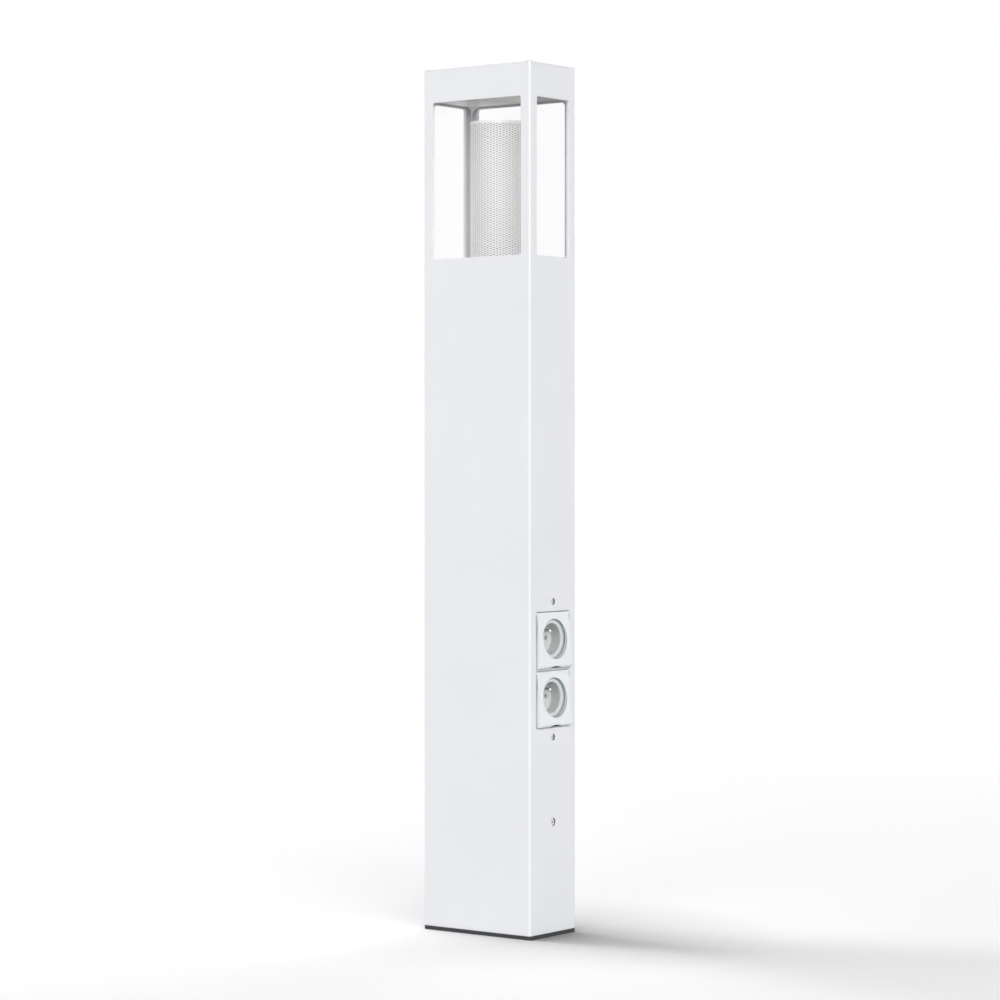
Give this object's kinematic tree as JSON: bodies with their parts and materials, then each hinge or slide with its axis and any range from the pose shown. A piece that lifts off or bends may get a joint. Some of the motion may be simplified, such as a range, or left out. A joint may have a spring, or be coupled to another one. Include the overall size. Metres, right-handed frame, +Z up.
{
  "type": "garden socket post",
  "caption": "Upright rectangular garden post with a glazed lantern at the head and hinged-lid mains sockets low on one narrow side, on an anchored base plate.",
  "frame": {"origin": "centre of the anchor holes on the underside of the base plate", "axes": "+Z up the post, +X out of the narrow side with the sockets, Y across the narrow side"},
  "size_m": [0.1765, 0.098, 1.105],
  "materials": {
    "base_grey": "dark grey powder coat",
    "post_white": "white satin powder coat on aluminium",
    "tray_grey": "light grey coated sheet",
    "zinc_steel": "zinc-plated sheet",
    "screw_steel": "stainless steel",
    "brass": "brass",
    "pin_metal": "nickel-plated brass",
    "rubber_black": "black rubber",
    "seal_white": "white silicone",
    "plastic_white": "white moulded plastic",
    "plastic_grey": "grey moulded plastic",
    "plastic_dark": "dark grey moulded plastic",
    "clear_plastic": "clear polycarbonate",
    "clear_glass": "clear float glass",
    "diffuser_white": "white perforated sheet",
    "opal": "opal plastic"
  },
  "bodies": {
    "post_body": {"base_plate": "base_grey", "cable_grommet": "rubber_black", "foot_bracket": "zinc_steel", "bracket_screws": "screw_steel", "bracket_nuts": "screw_steel", "foot_screws": "screw_steel", "foot_nuts": "screw_steel", "earth_stud": "brass", "earth_nut": "brass", "terminal_box": "plastic_grey", "terminal_lid": "plastic_grey", "terminal_block": "plastic_white", "cable_glands": "plastic_dark", "post": "post_white", "floor_ledges": "zinc_steel", "lantern_floor": "post_white", "pane_front": "clear_glass", "pane_rear": "clear_glass", "pane_left": "clear_glass", "pane_right": "clear_glass", "seal_front": "seal_white", "seal_rear": "seal_white", "seal_left": "seal_white", "seal_right": "seal_white", "pane_retainers": "post_white", "ceiling_tray": "tray_grey", "top_cap": "post_white", "cap_screws": "screw_steel", "diffuser": "diffuser_white", "diffuser_collar": "post_white", "diffuser_ring": "diffuser_white", "lamp_holder": "plastic_white", "lamp_cap": "screw_steel", "lamp_body": "plastic_white", "lamp_globe": "opal", "socket_gasket": "rubber_black", "socket_frame": "plastic_white", "socket_carrier": "zinc_steel", "carrier_screws": "screw_steel", "carrier_nuts": "screw_steel", "well_upper": "plastic_white", "well_lower": "plastic_white", "contact_block_upper": "plastic_white", "contact_block_lower": "plastic_white", "housing_upper": "plastic_grey", "housing_lower": "plastic_grey", "earth_pin_upper": "pin_metal", "earth_pin_lower": "pin_metal", "contacts_upper": "brass", "contacts_lower": "brass", "shutter_spring_upper": "screw_steel", "shutter_spring_lower": "screw_steel", "hinge_pin_upper": "screw_steel", "hinge_pin_lower": "screw_steel"},
    "upper_lid": {"lid_upper": "plastic_white", "lid_window_upper": "clear_plastic"},
    "lower_lid": {"lid_lower": "plastic_white", "lid_window_lower": "clear_plastic"},
    "upper_shutter": {"shutter_upper": "plastic_grey"},
    "lower_shutter": {"shutter_lower": "plastic_grey"}
  },
  "joints": [
    {"name": "upper_lid_hinge", "type": "hinge", "parent": "post_body", "child": "upper_lid", "pos_m": [0.0835, 0, 0.4093], "axis": [0, -1, 0], "range_deg": [0, 100]},
    {"name": "upper_shutter_slide", "type": "slide", "parent": "post_body", "child": "upper_shutter", "axis": [0, 1, 0], "range_m": [0, 0.007], "stiffness_N_per_m": 150, "springref_m": -0.002, "deforming": ["shutter_spring_upper"]},
    {"name": "lower_lid_hinge", "type": "hinge", "parent": "post_body", "child": "lower_lid", "pos_m": [0.0835, 0, 0.3349], "axis": [0, -1, 0], "range_deg": [0, 100]},
    {"name": "lower_shutter_slide", "type": "slide", "parent": "post_body", "child": "lower_shutter", "axis": [0, 1, 0], "range_m": [0, 0.007], "stiffness_N_per_m": 150, "springref_m": -0.002, "deforming": ["shutter_spring_lower"]}
  ]
}
